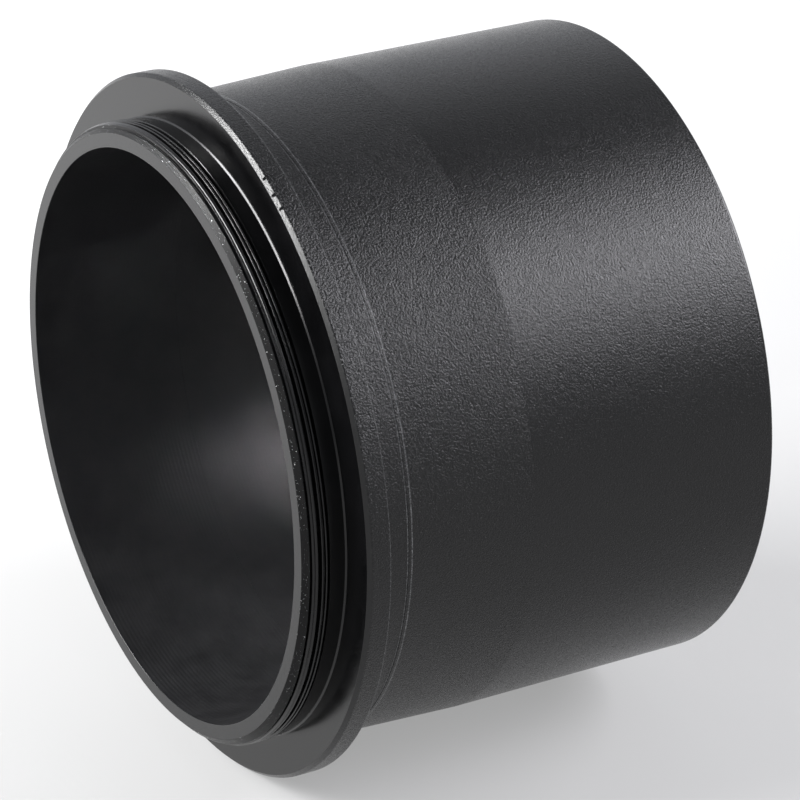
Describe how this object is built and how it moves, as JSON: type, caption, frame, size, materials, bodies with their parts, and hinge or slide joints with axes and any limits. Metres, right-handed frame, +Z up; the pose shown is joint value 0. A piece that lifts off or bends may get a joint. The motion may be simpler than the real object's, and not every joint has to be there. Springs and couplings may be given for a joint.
{
  "type": "barlow lens",
  "caption": "Two-inch Barlow lens nosepiece: flanged M48 camera thread, black barrel with reverse taper, screw-out doublet lens cell.",
  "frame": {"origin": "on the surface the part lies on, below the middle of its length", "axes": "+X along the optical axis from the camera thread towards the sky end, +Z up"},
  "size_m": [0.0386, 0.0544, 0.0544],
  "materials": {
    "thread_ring": "satin black anodise, bright worn front edge on the flange",
    "barrel": "matte black anodise over fine bead blasting",
    "inner_black": "matte black anodise",
    "cell": "satin black anodise",
    "crown_glass": "polished, anti-reflection coated",
    "flint_glass": "polished, anti-reflection coated",
    "spacer_foil": "blackened foil",
    "cushion": "matte",
    "ring_black": "satin black anodise"
  },
  "bodies": {
    "body": {"camera_thread_ring": "thread_ring", "barrel": "barrel", "glare_stop": "inner_black"},
    "optics": {"crown_element": "crown_glass", "air_spacer": "spacer_foil", "flint_element": "flint_glass", "cushion_ring": "cushion"},
    "cell": {"lens_cell": "cell", "retaining_ring": "ring_black"}
  },
  "joints": [
    {"name": "cell_travel", "type": "slide", "parent": "body", "child": "optics", "axis": [1, 0, 0], "range_m": [0, 0.0064]},
    {"name": "cell_unscrew", "type": "hinge", "parent": "optics", "child": "cell", "pos_m": [0, 0, 0.02722], "axis": [1, 0, 0], "range_deg": [0, 3072]}
  ],
  "couplings": [
    {"joint": "cell_unscrew", "follows": "cell_travel", "rad_per_m": 8377.6}
  ]
}
